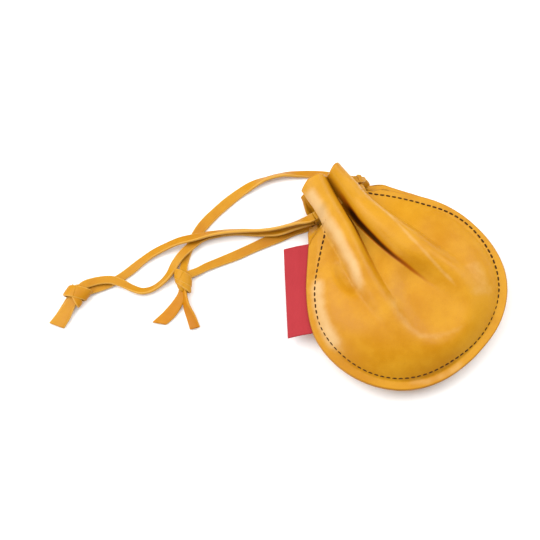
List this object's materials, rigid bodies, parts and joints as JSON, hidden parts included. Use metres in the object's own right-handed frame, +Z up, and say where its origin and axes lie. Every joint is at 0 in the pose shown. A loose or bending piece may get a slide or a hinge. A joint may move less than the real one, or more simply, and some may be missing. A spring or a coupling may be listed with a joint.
{
  "type": "drawstring pouch",
  "caption": "Flat pear-shaped leather pouch lying on its back, its gathered neck closed by flat leather thongs that end in knots, with a woven tag in the side seam",
  "frame": {"origin": "on the floor under the middle of the round body, at the middle of the back panel's flat rest", "axes": "+Z up out of the front panel, +Y from the round body to the gathered neck, +X across the body; the free strands lie towards -X"},
  "size_m": [0.2457, 0.1734, 0.0311],
  "materials": {
    "leather": "smooth mustard leather with a satin sheen",
    "label_weave": "matt red woven ribbon"
  },
  "bodies": {
    "root": {"front_panel": "leather", "back_panel": "leather", "label": "label_weave", "lace_1_neck": "leather", "lace_2_neck": "leather", "lace_1_upper": "leather", "lace_1_lower": "leather", "lace_2_upper": "leather", "lace_2_lower": "leather", "knot_1": "leather", "knot_2": "leather"}
  },
  "joints": []
}
